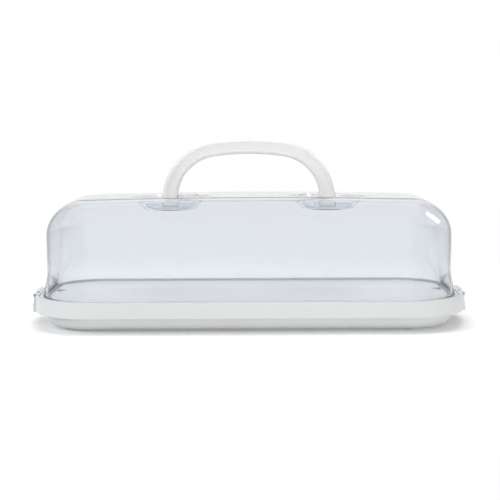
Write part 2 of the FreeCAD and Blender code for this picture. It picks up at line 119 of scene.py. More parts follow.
# Handle
LEG_PLACE = (BRACKET_LOW.x + BRACKET_HIGH.x) / 2
PIVOT = (HANDLE_PIN_LOW.z + HANDLE_PIN_HIGH.z) / 2
STRAP_WIDTH = 0.016
STRAP_DEPTH = HANDLE_HIGH.y - HANDLE_LOW.y
STRAP_ROUND = 0.0035
GROOVE_WIDTH = 0.0085
GROOVE_DEPTH = 0.0007
BEND_SHARE = 0.96
CHEEK_THICKNESS = 0.005
CHEEK_HALF = 0.0045
BRACKET_BASE = 0.0015
BRACKET_ROUND = 0.0007
PIN_CHAMFER_SHARE = 1 / 6

# Latches
HINGE_X = (LATCH_PIN_LOW.x + LATCH_PIN_HIGH.x) / 2
HINGE_Z = (LATCH_PIN_LOW.z + LATCH_PIN_HIGH.z) / 2
BARREL_RADIUS = LATCH_HIGH.z - HINGE_Z
LATCH_THICKNESS = 0.0024
LATCH_GRIP = 0.001
LATCH_ROUND = LATCH_GRIP / 3
HOOK_HEIGHT = 0.002
HOOK_GAP = 0.0004
KNUCKLE_GAP = 0.0003

# How finely round stretches are divided, what counts as sharp, and the smallest distances
ARC_STEPS = 24
ROUND_STEPS = 5
SOFT_STEPS = 3
SIDE_STEPS = 44
SHARP_ANGLE = 34
HANDLE_SHARP_ANGLE = 50
HAIR = 1e-5
SAME_PLACE = 1e-6


def arc(centre, radius, start, end, steps):
    """Points on an arc in a flat drawing, from one angle to another in degrees."""
    points = []
    for step in range(steps + 1):
        angle = math.radians(start + (end - start) * step / steps)
        points.append((centre[0] + radius * math.cos(angle), centre[1] + radius * math.sin(angle)))
    return points


def end_places():
    """Places across a rim end, closer together at the sides of the notch, from front to back."""
    half = [NOTCH_HALF * share for share in END_SHARES]
    half.append(CORNER_Y * END_LAST_SHARE)
    return [-place for place in reversed(half)] + [0.0] + half


def ring(inset, level):
    """The rim's outline drawn in by an inset, at a level. Every ring has as many points."""
    radius = RIM_CORNER - inset
    side_x = HALF_LENGTH - inset
    side_y = HALF_DEPTH - inset
    long_places = [CORNER_X * (2 * step / SIDE_STEPS - 1) for step in range(1, SIDE_STEPS)]
    points = [(place, -side_y) for place in long_places]
    points += arc((CORNER_X, -CORNER_Y), radius, -90, 0, ARC_STEPS)
    points += [(side_x, place) for place in end_places()]
    points += arc((CORNER_X, CORNER_Y), radius, 0, 90, ARC_STEPS)
    points += [(-place, side_y) for place in long_places]
    points += arc((-CORNER_X, CORNER_Y), radius, 90, 180, ARC_STEPS)
    points += [(-side_x, -place) for place in end_places()]
    points += arc((-CORNER_X, -CORNER_Y), radius, 180, 270, ARC_STEPS)
    return [Vector((x, y, level)) for x, y in points]


def bridge(mesh, first, second):
    """Faces between two loops of as many vertices."""
    count = len(first)
    for step in range(count):
        after = (step + 1) % count
        mesh.faces.new((first[step], first[after], second[after], second[step]))


def loft(mesh, loops):
    """Adds loops of points with faces between each and the next. Returns the loops' vertices."""
    rows = [[mesh.verts.new(point) for point in points] for points in loops]
    for first, second in zip(rows, rows[1:]):
        bridge(mesh, first, second)
    return rows


def new_object(name, mesh):
    """Makes an object of a mesh, its faces turned outward."""
    bmesh.ops.recalc_face_normals(mesh, faces=mesh.faces)
    data = bpy.data.meshes.new(name)
    mesh.to_mesh(data)
    mesh.free()
    made = bpy.data.objects.new(name, data)
    bpy.context.scene.collection.objects.link(made)
    return made


def finish_piece(name, mesh, body, node, sharp=SHARP_ANGLE):
    """Makes a piece of a mesh, which rides on a body and may stand for a CAD node."""
    bmesh.ops.remove_doubles(mesh, verts=mesh.verts, dist=SAME_PLACE)
    piece = new_object(name, mesh)
    piece.data.shade_smooth()
    piece.data.set_sharp_from_angle(angle=math.radians(sharp))
    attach(piece, body)
    if node:
        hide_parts(node)
    return piece


def apply_modifiers(piece):
    """Fixes what a piece's modifiers make of its mesh."""
    depsgraph = bpy.context.evaluated_depsgraph_get()
    made = bpy.data.meshes.new_from_object(piece.evaluated_get(depsgraph))
    piece.modifiers.clear()
    piece.data = made


def soften(piece, width):
    """Rounds a piece's sharp edges."""
    bevel = piece.modifiers.new("Soft edges", "BEVEL")
    bevel.width = width
    bevel.segments = SOFT_STEPS
    bevel.limit_method = "ANGLE"
    bevel.angle_limit = math.radians(SHARP_ANGLE)
    bevel.harden_normals = True
    apply_modifiers(piece)


def cut(piece, mesh):
    """Takes a closed mesh out of a piece."""
    cutter = new_object("Cutter", mesh)
    boolean = piece.modifiers.new("Cut", "BOOLEAN")
    boolean.operation = "DIFFERENCE"
    boolean.solver = "EXACT"
    boolean.object = cutter
    apply_modifiers(piece)
    bpy.data.objects.remove(cutter)


def prism(mesh, outline, place, low, high):
    """A closed prism: place turns a point of the outline and a distance along it into space."""
    rows = loft(mesh, [[place(x, y, level) for x, y in outline] for level in (low, high)])
    mesh.faces.new(rows[0])
    mesh.faces.new(rows[1])


# Ways to place a prism: two places of its outline, and a distance along the axis in the name
def along_x(y, z, x):
    return Vector((x, y, z))


def along_y(x, z, y):
    return Vector((x, y, z))


def along_z(x, y, z):
    return Vector((x, y, z))


# Tray
def tray_profile():
    """The tray's section from the middle of the floor, over the rim and under to the middle again."""
    small = EDGE_ROUND
    floor = BOWL_BOTTOM + BOWL_WALL
    inside = BOWL_INSET + BOWL_WALL
    inner_round = BOWL_ROUND - BOWL_WALL
    skirt_low = RIM_TOP - SKIRT_HEIGHT
    under = LEDGE - LEDGE_THICKNESS
    points = []
    points += arc((inside + inner_round, floor + inner_round), inner_round, 270, 180, ROUND_STEPS * 2)
    points += arc((inside - small, LEDGE - small), small, 0, 90, ROUND_STEPS)
    points += arc((RIM_WALL + small, LEDGE + small), small, 270, 180, ROUND_STEPS)
    points += arc((RIM_WALL - small, RIM_TOP - small), small, 0, 90, ROUND_STEPS)
    points += arc((RIM_ROUND, RIM_TOP - RIM_ROUND), RIM_ROUND, 90, 180, ROUND_STEPS)
    points += arc((small, skirt_low + small), small, 180, 270, ROUND_STEPS)
    points += arc((RIM_WALL - small, skirt_low + small), small, 270, 360, ROUND_STEPS)
    points += arc((RIM_WALL + small, under - small), small, 180, 90, ROUND_STEPS)
    points += arc((BOWL_INSET - small, under - small), small, 90, 0, ROUND_STEPS)
    centre = (BOWL_INSET + BOWL_ROUND, BOWL_BOTTOM + BOWL_ROUND)
    points += arc(centre, BOWL_ROUND, 180, 270, ROUND_STEPS * 2)
    return points


def notched(points):
    """Lowers the rim to the ledge inside the notch at each end."""
    for point in points:
        beyond = abs(point.x) > HALF_LENGTH - RIM_WALL - RIM_ROUND
        if beyond and abs(point.y) <= NOTCH_HALF + HAIR and point.z > LEDGE:
            point.z = LEDGE
    return points


def rib_boxes():
    """Low and high corners of the ribs that carry the plate, seen from above."""
    inside = BOWL_INSET + BOWL_WALL / 2
    half = RIB_WIDTH / 2
    for side_x in (-1, 1):
        for side_y in (-1, 1):
            x = side_x * CROSS_RIB_PLACE
            near = side_y * (HALF_DEPTH - BOWL_INSET - BOWL_WALL - RIB_REACH)
            far = side_y * (HALF_DEPTH - inside)
            yield x - half, min(near, far), x + half, max(near, far)
            y = side_y * END_RIB_PLACE
            near = side_x * (HALF_LENGTH - BOWL_INSET - BOWL_WALL - RIB_REACH)
            far = side_x * (HALF_LENGTH - inside)
            yield min(near, far), y - half, max(near, far), y + half


def make_tray():
    mesh = bmesh.new()
    rows = loft(mesh, [notched(ring(inset, level)) for inset, level in tray_profile()])
    mesh.faces.new(rows[0])
    mesh.faces.new(rows[-1])
    rib_low = BOWL_BOTTOM + BOWL_ROUND
    for low_x, low_y, high_x, high_y in rib_boxes():
        outline = [(low_x, low_y), (high_x, low_y), (high_x, high_y), (low_x, high_y)]
        prism(mesh, outline, along_z, rib_low, LEDGE - HAIR)
    return finish_piece("tray_shell", mesh, "tray", "tray")


# Plate and feet: slabs with rounded edges
def slab(mesh, outline, low, high, low_round, high_round):
    """A slab over an outline that runs anticlockwise, its edges rounded."""
    count = len(outline)
    points = [Vector(point) for point in outline]
    inward = []
    for step, point in enumerate(points):
        ahead = points[(step + 1) % count] - points[step - 1]
        inward.append(Vector((-ahead.y, ahead.x)).normalized())

    def loop(offset, level):
        return [(point + normal * offset).to_3d() + Vector((0, 0, level))
                for point, normal in zip(points, inward)]

    section = arc((low_round, low + low_round), low_round, 270, 180, ROUND_STEPS)
    section += arc((high_round, high - high_round), high_round, 180, 90, ROUND_STEPS)
    rows = loft(mesh, [loop(offset, level) for offset, level in section])
    mesh.faces.new(rows[0])
    mesh.faces.new(rows[-1])


def plate_outline():
    """The plate from above, with a finger notch in each end."""
    radius = RIM_CORNER - PLATE_INSET
    end = HALF_LENGTH - PLATE_INSET
    right = arc((CORNER_X, -CORNER_Y), radius, -90, 0, ARC_STEPS)
    right += arc((end, 0), FINGER_NOTCH, 270, 90, ARC_STEPS)
    right += arc((CORNER_X, CORNER_Y), radius, 0, 90, ARC_STEPS)
    return right + [(-x, -y) for x, y in right]


def make_plate():
    mesh = bmesh.new()
    slab(mesh, plate_outline(), PLATE_LOW.z, PLATE_HIGH.z, PLATE_ROUND / 2, PLATE_ROUND)
    return finish_piece("plate_slab", mesh, "plate", "serving_plate")


def make_foot(name, side_x, side_y, turn):
    """A quarter ring with round ends under one corner of the bowl."""
    end = math.degrees(FOOT_HALF / FOOT_RADIUS)
    start_angle = math.radians(end)
    stop_angle = math.radians(90 - end)
    first = (FOOT_RADIUS * math.cos(start_angle), FOOT_RADIUS * math.sin(start_angle))
    last = (FOOT_RADIUS * math.cos(stop_angle), FOOT_RADIUS * math.sin(stop_angle))
    outline = arc((0, 0), FOOT_RADIUS + FOOT_HALF, end, 90 - end, ARC_STEPS)
    outline += arc(last, FOOT_HALF, 90 - end, 270 - end, ARC_STEPS)[1:-1]
    outline += arc((0, 0), FOOT_RADIUS - FOOT_HALF, 90 - end, end, ARC_STEPS)
    outline += arc(first, FOOT_HALF, 180 + end, 360 + end, ARC_STEPS)[1:-1]
    turned = Matrix.Rotation(math.radians(turn), 2)
    centre = Vector((side_x * CORNER_X, side_y * CORNER_Y))
    mesh = bmesh.new()
    placed = [centre + turned @ Vector(point) for point in outline]
    slab(mesh, placed, 0, BOWL_BOTTOM, FOOT_ROUND, FOOT_ROUND)
    return finish_piece(name + "_pad", mesh, "tray", name)


# Lid
def crown_level(x):
    """How far the lid's top has dropped at a place along its length."""
    return x * x / (2 * CROWN_RADIUS)


def dome_profile(inward):
    """The dome's section from the flange up to where the flat top starts."""
    slope = (WALL_INSET - FLARE_INSET) / (FLARE_TOP - LEDGE)
    foot = FLARE_INSET + slope * FLANGE_THICKNESS + inward
    points = []
    if inward:
        points.append((foot, DOME_FOOT))
    else:
        centre = (foot - FLANGE_ROUND, DOME_FOOT + FLANGE_ROUND)
        points += arc(centre, FLANGE_ROUND, 270, FLARE_FILLET_END, ROUND_STEPS)
    for step in range(-ROUND_STEPS, ROUND_STEPS + 1):
        share = step / ROUND_STEPS
        level = FLARE_TOP + FLARE_BEND * share
        flare = WALL_INSET - slope * (FLARE_TOP - level)
        ease = slope * FLARE_BEND * (1 - abs(share)) ** 2 / 4
        points.append((min(flare, WALL_INSET) - ease + inward, level))
    points += arc((ROUND_INSET, ROUND_LEVEL), LID_ROUND - inward, 180, 90, ARC_STEPS)
    return points


def crowned(points):
    """Drops the rounded top with the crown's arc towards the ends."""
    for point in points:
        share = min(max((point.z - ROUND_LEVEL) / LID_ROUND, 0), 1)
        point.z -= crown_level(point.x) * share * share * (3 - 2 * share)
    return points


def dish_profile(inward):
    """A dish's section from its lip to its floor: distance from its axis, and level."""
    slope = (DISH_RADIUS - DISH_FLOOR_RADIUS) / DISH_DEPTH
    lean = math.degrees(math.atan(slope))
    top = LID_TOP - inward
    floor = LID_TOP - DISH_DEPTH - inward
    lip = DISH_LIP + inward
    fillet = DISH_FILLET + inward
    wall = DISH_FLOOR_RADIUS + inward
    reach = math.hypot(1, slope)
    lip_centre = (wall + slope * (top - lip - floor) + lip * reach, top - lip)
    points = arc(lip_centre, lip, 90, 180 - lean, ROUND_STEPS)
    fillet_centre = (wall + slope * fillet - fillet * reach, floor + fillet)
    points += arc(fillet_centre, fillet, 360 - lean, 270, ROUND_STEPS)
    return points


def dish_rings(side, inward):
    """A dish's rings of points. The lip follows the crown and the floor is level."""
    steps = ARC_STEPS * 4
    floor = LID_TOP - DISH_DEPTH - inward
    rings = []
    for radius, level in dish_profile(inward):
        share = (level - floor) / DISH_DEPTH
        points = []
        for x, y in arc((side * LEG_PLACE, 0), radius, 0, 360, steps)[:-1]:
            points.append(Vector((x, y, level - crown_level(x) * share)))
        rings.append(points)
    return rings


def dish_distance(place):
    """How far a place on the top, seen from above, lies from the nearer dish's axis."""
    return min((place - Vector((side * LEG_PLACE, 0))).length for side in (-1, 1))


def fill_top(mesh, outer, holes, inward):
    """Triangles between the flat top's edge and the lips of the dishes."""
    border = list(outer)
    edges = [(step, (step + 1) % len(outer)) for step in range(len(outer))]
    for hole in holes:
        start = len(border)
        border += hole
        edges += [(start + step, start + (step + 1) % len(hole)) for step in range(len(hole))]
    flat = [vert.co.xy for vert in border]
    lip = dish_profile(inward)[0][0]
    half_x = HALF_LENGTH - ROUND_INSET - TOP_SPACING / 2
    half_y = HALF_DEPTH - ROUND_INSET - TOP_SPACING / 2
    count_x = round(2 * half_x / TOP_SPACING)
    count_y = round(2 * half_y / TOP_SPACING)
    for column in range(count_x + 1):
        for row in range(count_y + 1):
            place = Vector((half_x * (2 * column / count_x - 1), half_y * (2 * row / count_y - 1)))
            if dish_distance(place) > lip + TOP_SPACING / 3:
                flat.append(place)
    places, _, faces, origins, _, _ = delaunay_2d_cdt(flat, edges, [], 0, SAME_PLACE)
    verts = []
    for place, origin in zip(places, origins):
        known = [item for item in origin if item < len(border)]
        if known:
            verts.append(border[known[0]])
        else:
            level = LID_TOP - inward - crown_level(place.x)
            verts.append(mesh.verts.new((place.x, place.y, level)))
    limit_x = HALF_LENGTH - ROUND_INSET
    limit_y = HALF_DEPTH - ROUND_INSET
    for face in faces:
        middle = sum((places[item] for item in face), Vector((0, 0))) / len(face)
        outside = dish_distance(middle) > lip - HAIR
        if outside and abs(middle.x) < limit_x and abs(middle.y) < limit_y:
            mesh.faces.new([verts[item] for item in face])


def lid_skin(mesh, inward):
    """One face of the lid's wall, from the flange to the floors of the dishes. Returns its lowest loop."""
    rows = loft(mesh, [crowned(ring(inset, level)) for inset, level in dome_profile(inward)])
    lips = []
    for side in (-1, 1):
        dish = loft(mesh, dish_rings(side, inward))
        mesh.faces.new(dish[-1])
        lips.append(dish[0])
    fill_top(mesh, rows[-1], lips, inward)
    return rows[0]


def add_tongue(mesh, side):
    """The tongue at one end of the flange, with the barrel that a latch pin goes through."""
    root = HALF_LENGTH - FLANGE_INSET + HAIR
    rise = math.degrees(math.asin((FLANGE_TOP - HINGE_Z) / BARREL_RADIUS))
    outline = [(root, FLANGE_TOP), (root, LID_SEAT)]
    outline += arc((HINGE_X, HINGE_Z), BARREL_RADIUS, 270, 540 - rise, ARC_STEPS)
    prism(mesh, [(side * x, z) for x, z in outline], along_y, -TONGUE_HALF, TONGUE_HALF)


def make_lid():
    mesh = bmesh.new()
    outside = lid_skin(mesh, 0)
    inside = lid_skin(mesh, LID_WALL)
    bridge(mesh, outside, inside)
    return finish_piece("lid_shell", mesh, "lid", "lid")


def make_flange():
    """The thick ring that the dome grows from, with a tongue at each end."""
    low_round = FLANGE_ROUND / 2
    inner = FLARE_INSET + LID_WALL
    profile = arc((FLANGE_INSET + low_round, LID_SEAT + low_round), low_round, 270, 180, ROUND_STEPS)
    centre = (FLANGE_INSET + FLANGE_ROUND, FLANGE_TOP - FLANGE_ROUND)
    profile += arc(centre, FLANGE_ROUND, 180, 90, ROUND_STEPS)
    profile += arc((inner - low_round, FLANGE_TOP - low_round), low_round, 90, 0, ROUND_STEPS)
    profile += arc((inner - low_round, LID_SEAT + low_round), low_round, 360, 270, ROUND_STEPS)
    mesh = bmesh.new()
    rows = loft(mesh, [ring(inset, level) for inset, level in profile])
    bridge(mesh, rows[-1], rows[0])
    for side in (-1, 1):
        add_tongue(mesh, side)
    return finish_piece("lid_flange", mesh, "lid", None)


# Handle
def arch_line():
    """The handle's middle line from the left foot to the right: place in X and Z, and outward angle."""
    rise = HANDLE_HIGH.z - STRAP_WIDTH / 2 - PIVOT
    bend = BEND_SHARE * rise
    arch = (rise ** 2 + LEG_PLACE ** 2 - 2 * LEG_PLACE * bend) / (2 * (rise - bend))
    arch_centre = (0, PIVOT + rise - arch)
    turn = math.degrees(math.atan2(PIVOT - arch_centre[1], LEG_PLACE - bend))
    line = []
    for centre, radius, start, end in (
        ((bend - LEG_PLACE, PIVOT), bend, 180, 180 - turn),
        (arch_centre, arch, 180 - turn, turn),
        ((LEG_PLACE - bend, PIVOT), bend, turn, 0),
    ):
        points = arc(centre, radius, start, end, ARC_STEPS)
        first = 1 if line else 0
        for step in range(first, ARC_STEPS + 1):
            line.append((points[step], start + (end - start) * step / ARC_STEPS))
    return line


def strap_section():
    """The strap's section: across its width, and front to back. A groove runs along both faces."""
    half_width = STRAP_WIDTH / 2
    half_depth = STRAP_DEPTH / 2
    groove = GROOVE_WIDTH / 2
    edge = GROOVE_DEPTH / 2
    corner = (half_width - STRAP_ROUND, half_depth - STRAP_ROUND)
    quarter = arc(corner, STRAP_ROUND, 0, 90, ROUND_STEPS * 2)
    quarter += arc((groove + edge, half_depth - edge), edge, 90, 180, ROUND_STEPS)
    low = half_depth - GROOVE_DEPTH
    quarter += arc((groove - edge, low + edge), edge, 360, 270, ROUND_STEPS)
    half = quarter + [(-x, y) for x, y in reversed(quarter)]
    return half + [(-x, -y) for x, y in half]


def strap_loop(place, angle, depth_share=1.0):
    """The strap's section set square to the handle's line, its depth drawn in for a round end."""
    outward = Vector((math.cos(math.radians(angle)), 0, math.sin(math.radians(angle))))
    middle = Vector((place[0], 0, place[1]))
    return [middle + outward * x + Vector((0, y * depth_share, 0)) for x, y in strap_section()]


def foot_loops(side):
    """The half-round end under a leg's pin, from its tip up to the pin."""
    radius = STRAP_DEPTH / 2
    loops = []
    for step in range(1, ARC_STEPS):
        angle = math.radians(90 * step / ARC_STEPS)
        place = (side * LEG_PLACE, PIVOT - radius * math.cos(angle))
        loops.append(strap_loop(place, 180 if side < 0 else 0, math.sin(angle)))
    return loops


def make_handle():
    mesh = bmesh.new()
    loops = foot_loops(-1)
    loops += [strap_loop(place, angle) for place, angle in arch_line()]
    loops += reversed(foot_loops(1))
    rows = loft(mesh, loops)
    mesh.faces.new(rows[0])
    mesh.faces.new(rows[-1])
    return finish_piece("handle_strap", mesh, "handle", "handle", HANDLE_SHARP_ANGLE)


def make_bracket(hand, side):
    """A round base with two cheeks that hold the handle's pin."""
    name = "handle_bracket_" + hand
    low = BRACKET_LOW.z
    radius = (BRACKET_HIGH.x - BRACKET_LOW.x) / 2
    middle = side * LEG_PLACE
    mesh = bmesh.new()
    base = arc((middle, 0), radius, 0, 360, ARC_STEPS * 4)[:-1]
    slab(mesh, base, low, low + BRACKET_BASE, BRACKET_ROUND / 2, BRACKET_ROUND)
    piece = finish_piece(name + "_block", mesh, "lid", name)
    cheeks = bmesh.new()
    inner = (HANDLE_PIN_HIGH.x - HANDLE_PIN_LOW.x) / 2 - CHEEK_THICKNESS
    outline = [(-CHEEK_HALF, low + BRACKET_BASE / 2), (CHEEK_HALF, low + BRACKET_BASE / 2)]
    outline += arc((0, PIVOT), CHEEK_HALF, 0, 180, ARC_STEPS)
    for direction in (-1, 1):
        near = middle + direction * inner
        far = middle + direction * (inner + CHEEK_THICKNESS)
        prism(cheeks, outline, along_x, min(near, far), max(near, far))
    return piece, finish_cheeks(name, cheeks)


def finish_cheeks(name, mesh):
    """The cheeks of a bracket as a piece of their own, with softened edges."""
    piece = new_object(name + "_cheeks", mesh)
    piece.data.shade_smooth()
    soften(piece, BRACKET_ROUND)
    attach(piece, "lid")
    return piece


def turned_pin(name, body, node, start, along, length, radius):
    """A round pin with chamfered ends, from a start point along an axis."""
    side = along.orthogonal().normalized()
    up = along.cross(side)
    chamfer = radius * PIN_CHAMFER_SHARE
    tip = radius - chamfer
    section = [(tip, 0), (radius, chamfer), (radius, length - chamfer), (tip, length)]
    loops = []
    for reach, distance in section:
        circle = arc((0, 0), reach, 0, 360, ARC_STEPS * 2)[:-1]
        loops.append([start + along * distance + side * x + up * y for x, y in circle])
    mesh = bmesh.new()
    rows = loft(mesh, loops)
    mesh.faces.new(rows[0])
    mesh.faces.new(rows[-1])
    return finish_piece(name, mesh, body, node)


def make_pins(hand, side):
    """The handle's pin and the latch's pin on one side."""
    length = HANDLE_PIN_HIGH.x - HANDLE_PIN_LOW.x
    radius = (HANDLE_PIN_HIGH.z - HANDLE_PIN_LOW.z) / 2
    start = Vector((side * LEG_PLACE - length / 2, 0, PIVOT))
    handle_pin = turned_pin("handle_pin_" + hand + "_rod", "lid", "handle_pin_" + hand,
                            start, Vector((1, 0, 0)), length, radius)
    length = LATCH_PIN_HIGH.y - LATCH_PIN_LOW.y
    radius = (LATCH_PIN_HIGH.z - LATCH_PIN_LOW.z) / 2
    start = Vector((side * HINGE_X, -length / 2, HINGE_Z))
    latch_pin = turned_pin("latch_pin_" + hand + "_rod", "lid", "latch_pin_" + hand,
                           start, Vector((0, 1, 0)), length, radius)
    return handle_pin, latch_pin


def latch_outline():
    """A latch seen from the front, about its hinge: barrel, plate, hook inside and grip outside."""
    half = LATCH_THICKNESS / 2
    grip = half + LATCH_GRIP
    low = LATCH_LOW.z - HINGE_Z
    tip = LATCH_LOW.x - HINGE_X
    hook = RIM_TOP - SKIRT_HEIGHT - HINGE_Z - HOOK_GAP
    start = math.degrees(math.asin(half / BARREL_RADIUS))
    outline = arc((0, 0), BARREL_RADIUS, start - 90, 270 - start, ARC_STEPS * 2)
    outline += [(-half, hook), (tip, hook), (tip, hook - HOOK_HEIGHT / 2), (-half, low)]
    outline += [(grip, low), (grip, low / 2), (half, low / 2 + 2 * LATCH_GRIP)]
    return outline


def make_latch(hand, side):
    name = "latch_" + hand
    half = (LATCH_HIGH.y - LATCH_LOW.y) / 2
    mesh = bmesh.new()
    outline = [(side * (HINGE_X + x), HINGE_Z + z) for x, z in latch_outline()]
    prism(mesh, outline, along_y, -half, half)
    piece = finish_piece(name + "_plate", mesh, name, name)
    room = BARREL_RADIUS + KNUCKLE_GAP
    gap = TONGUE_HALF + KNUCKLE_GAP
    middle = side * HINGE_X
    window = bmesh.new()
    box = [(middle - room, HINGE_Z - room), (middle + room, HINGE_Z - room),
           (middle + room, HINGE_Z + room), (middle - room, HINGE_Z + room)]
    prism(window, box, along_y, -gap, gap)
    cut(piece, window)
    soften(piece, LATCH_ROUND)
    return piece


# Materials: how uneven moulded pieces are, the lid's clear plastic, and the colours
CLOUD_SCALE = 14
CLOUD_DETAIL = 4
SHADE_FROM = 0.3
SHADE_TO = 0.7
DARKER_SHARE = 0.975
GLOSS_LOW_SHARE = 0.85
GLOSS_HIGH_SHARE = 1.2
GRAIN_DETAIL = 3
GRAIN_DEPTH = 0.0002
PLASTIC_INDEX = 1.49
LID_TINT = (0.875, 0.893, 0.920, 1)
LID_CLOUD_SCALE = 9
LID_CLOUD_DETAIL = 3
LID_ROUGH_LOW = 0.015
LID_ROUGH_HIGH = 0.05
LID_RELIEF = 0.02
LID_RELIEF_DEPTH = 0.001
LID_SHADOW = (0.96, 0.97, 0.98, 1)
LID_DEPTH_TINT = (0.31, 0.41, 0.53, 1)
LID_DENSITY = 8
TRAY_WHITE = (0.73, 0.74, 0.735)
# The plate's white is a lighter copy of the tray's white: painted light that makes up for the dimmer light
# under the lid.
PLATE_WHITE_WITH_PAINTED_LIGHT = (0.84, 0.84, 0.83)
HANDLE_WHITE = (0.94, 0.94, 0.935)
LATCH_GREY = (0.79, 0.80, 0.81)
FOOT_GREY = (0.66, 0.66, 0.64)
FLANGE_WHITE = (0.88, 0.9, 0.92)
FLANGE_CLEARNESS = 0.45
PIN_GREY = (0.62, 0.62, 0.63)


def add_noise(tree, scale, detail):
    """A noise over an object's own places."""
    place = tree.nodes.new("ShaderNodeTexCoord")
    noise = tree.nodes.new("ShaderNodeTexNoise")
    noise.inputs["Scale"].default_value = scale
    noise.inputs["Detail"].default_value = detail
    tree.links.new(place.outputs["Object"], noise.inputs["Vector"])
    return noise.outputs["Fac"]


def add_gloss(tree, shader, noise, low, high):
    """Roughness that follows a noise between two values."""
    gloss = tree.nodes.new("ShaderNodeMapRange")
    gloss.inputs["To Min"].default_value = low
    gloss.inputs["To Max"].default_value = high
    tree.links.new(noise, gloss.inputs["Value"])
    tree.links.new(gloss.outputs["Result"], shader.inputs["Roughness"])


def add_relief(tree, shader, noise, strength, depth):
    """A bump that follows a noise."""
    relief = tree.nodes.new("ShaderNodeBump")
    relief.inputs["Strength"].default_value = strength
    relief.inputs["Distance"].default_value = depth
    tree.links.new(noise, relief.inputs["Height"])
    tree.links.new(relief.outputs["Normal"], shader.inputs["Normal"])


def mix_shaders(tree, share, first, second):
    """The first shader where the share is 0, and the second where it is 1."""
    mix = tree.nodes.new("ShaderNodeMixShader")
    for source, socket in zip((share, first, second), mix.inputs):
        tree.links.new(source, socket)
    return mix.outputs["Shader"]


def new_material(name, colour, roughness, bump, grain):
    """Moulded plastic or metal: slight shade variation, uneven gloss and a fine surface grain."""
    material = bpy.data.materials.new(name)
    material.use_nodes = True
    tree = material.node_tree
    shader = tree.nodes["Principled BSDF"]
    cloud = add_noise(tree, CLOUD_SCALE, CLOUD_DETAIL)
    shade = tree.nodes.new("ShaderNodeValToRGB")
    darker, full = shade.color_ramp.elements
    darker.position = SHADE_FROM
    full.position = SHADE_TO
    darker.color = [part * DARKER_SHARE for part in colour] + [1]
    full.color = list(colour) + [1]
    tree.links.new(cloud, shade.inputs["Fac"])
    tree.links.new(shade.outputs["Color"], shader.inputs["Base Color"])
    add_gloss(tree, shader, cloud, roughness * GLOSS_LOW_SHARE, roughness * GLOSS_HIGH_SHARE)
    add_relief(tree, shader, add_noise(tree, grain, GRAIN_DETAIL), bump, GRAIN_DEPTH)
    return material


def clear_material(name):
    """Clear plastic that lets lamps through, faintly blue in its thickness."""
    material = bpy.data.materials.new(name)
    material.use_nodes = True
    tree = material.node_tree
    shader = tree.nodes["Principled BSDF"]
    output = tree.nodes["Material Output"]
    shader.inputs["Base Color"].default_value = LID_TINT
    shader.inputs["Transmission Weight"].default_value = 1
    shader.inputs["IOR"].default_value = PLASTIC_INDEX
    cloud = add_noise(tree, LID_CLOUD_SCALE, LID_CLOUD_DETAIL)
    add_gloss(tree, shader, cloud, LID_ROUGH_LOW, LID_ROUGH_HIGH)
    add_relief(tree, shader, cloud, LID_RELIEF, LID_RELIEF_DEPTH)
    shadow = tree.nodes.new("ShaderNodeBsdfTransparent")
    shadow.inputs["Color"].default_value = LID_SHADOW
    path = tree.nodes.new("ShaderNodeLightPath")
    to_lamp = path.outputs["Is Shadow Ray"]
    surface = mix_shaders(tree, to_lamp, shader.outputs["BSDF"], shadow.outputs["BSDF"])
    tree.links.new(surface, output.inputs["Surface"])
    absorb = tree.nodes.new("ShaderNodeVolumeAbsorption")
    absorb.inputs["Color"].default_value = LID_DEPTH_TINT
    absorb.inputs["Density"].default_value = LID_DENSITY
    tree.links.new(absorb.outputs["Volume"], output.inputs["Volume"])
    return material


def dress(piece, material):
    piece.data.materials.clear()
    piece.data.materials.append(material)


# Camera
CAMERA_BACK = 1.445
CAMERA_HEIGHT = 0.239
CAMERA_PITCH = 6.47
FOCAL_PIXELS = 1358.7
IMAGE_PIXELS = 500
SENSOR = 36
CAMERA_ROLL = -0.25
CAMERA_SHIFT = 0.002
CLIP_START = 0.05
CLIP_END = 50

# World, and a floor that the camera sees a little lifted, and plain white away from the carrier
WORLD_COLOUR = (0.97, 0.98, 1, 1)
WORLD_LEVEL = 0.33
WHITE = (1, 1, 1, 1)
FLOOR_COLOUR = (0.95, 0.95, 0.95, 1)
FLOOR_ROUGHNESS = 0.95
FLOOR_REACH = 1.3
FLOOR_LIFT = 0.2
FADE_START = 0.35
FADE_END = 0.7

# Where gloss and clear plastic see the white dim to both sides, by direction and on the floor
FLANK_START = 0.2
FLANK_END = 0.45
FLANK_LEVEL = 0.6
FLOOR_SIDE_START = 0.3
FLOOR_SIDE_END = 0.6
OVERHEAD_START = 0.7
OVERHEAD_END = 0.95

# Lamps: name, place, width, height and power
LAMPS = (
    ("Key", (-2.0, -0.5, 1.0), 1.0, 1.0, 18),
    ("Top", (0.1, 0.3, 2.2), 1.6, 1.6, 27),
    ("Front", (0.9, -2.3, 0.35), 1.6, 0.5, 23),
    ("Glint", (1.47, 0.29, 1.15), 0.5, 0.85, 9),
)
KEY_COLOUR = (0.95, 0.975, 1)


def make_camera():
    data = bpy.data.cameras.new("Camera")
    data.sensor_width = SENSOR
    data.lens = SENSOR * FOCAL_PIXELS / IMAGE_PIXELS
    data.shift_x = CAMERA_SHIFT
    data.clip_start = CLIP_START
    data.clip_end = CLIP_END
    camera = bpy.data.objects.new("Camera", data)
    camera.location = (0, -CAMERA_BACK, CAMERA_HEIGHT)
    aim = Matrix.Rotation(math.radians(90 - CAMERA_PITCH), 3, "X")
    roll = Matrix.Rotation(math.radians(CAMERA_ROLL), 3, "Z")
    camera.rotation_euler = (aim @ roll).to_euler()
    bpy.context.scene.collection.objects.link(camera)
    bpy.context.scene.camera = camera


def add_math(tree, operation, *sources):
    """A math node that works on what other nodes give."""
    node = tree.nodes.new("ShaderNodeMath")
    node.operation = operation
    for source, socket in zip(sources, node.inputs):
        tree.links.new(source, socket)
    return node.outputs["Value"]


